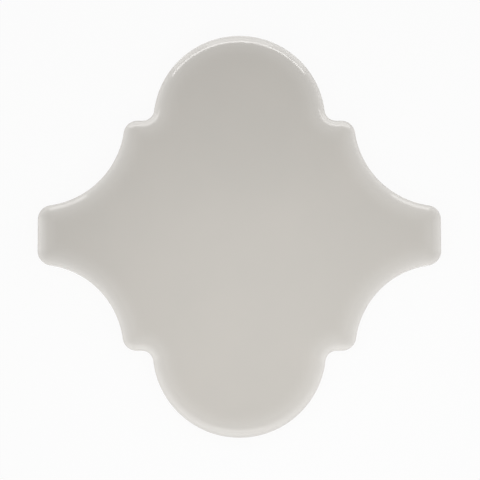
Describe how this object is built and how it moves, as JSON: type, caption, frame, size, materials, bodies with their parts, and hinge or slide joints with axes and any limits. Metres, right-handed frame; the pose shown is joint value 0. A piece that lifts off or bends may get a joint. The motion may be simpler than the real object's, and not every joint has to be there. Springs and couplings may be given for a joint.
{
  "type": "arabesque wall tile",
  "caption": "Glazed ceramic wall tile with round lobes, blunt wings and concave bays, made to interlock with like tiles in a lantern pattern on a bedded wall.",
  "frame": {"origin": "middle of the bedding plane on the back", "axes": "+Z out of the glazed face, +Y towards one lobe's crown, +X towards one wing's end"},
  "size_m": [0.12, 0.12, 0.0083],
  "materials": {
    "glaze": "gloss"
  },
  "bodies": {
    "root": {"arabesque_tile": "glaze"}
  },
  "joints": []
}
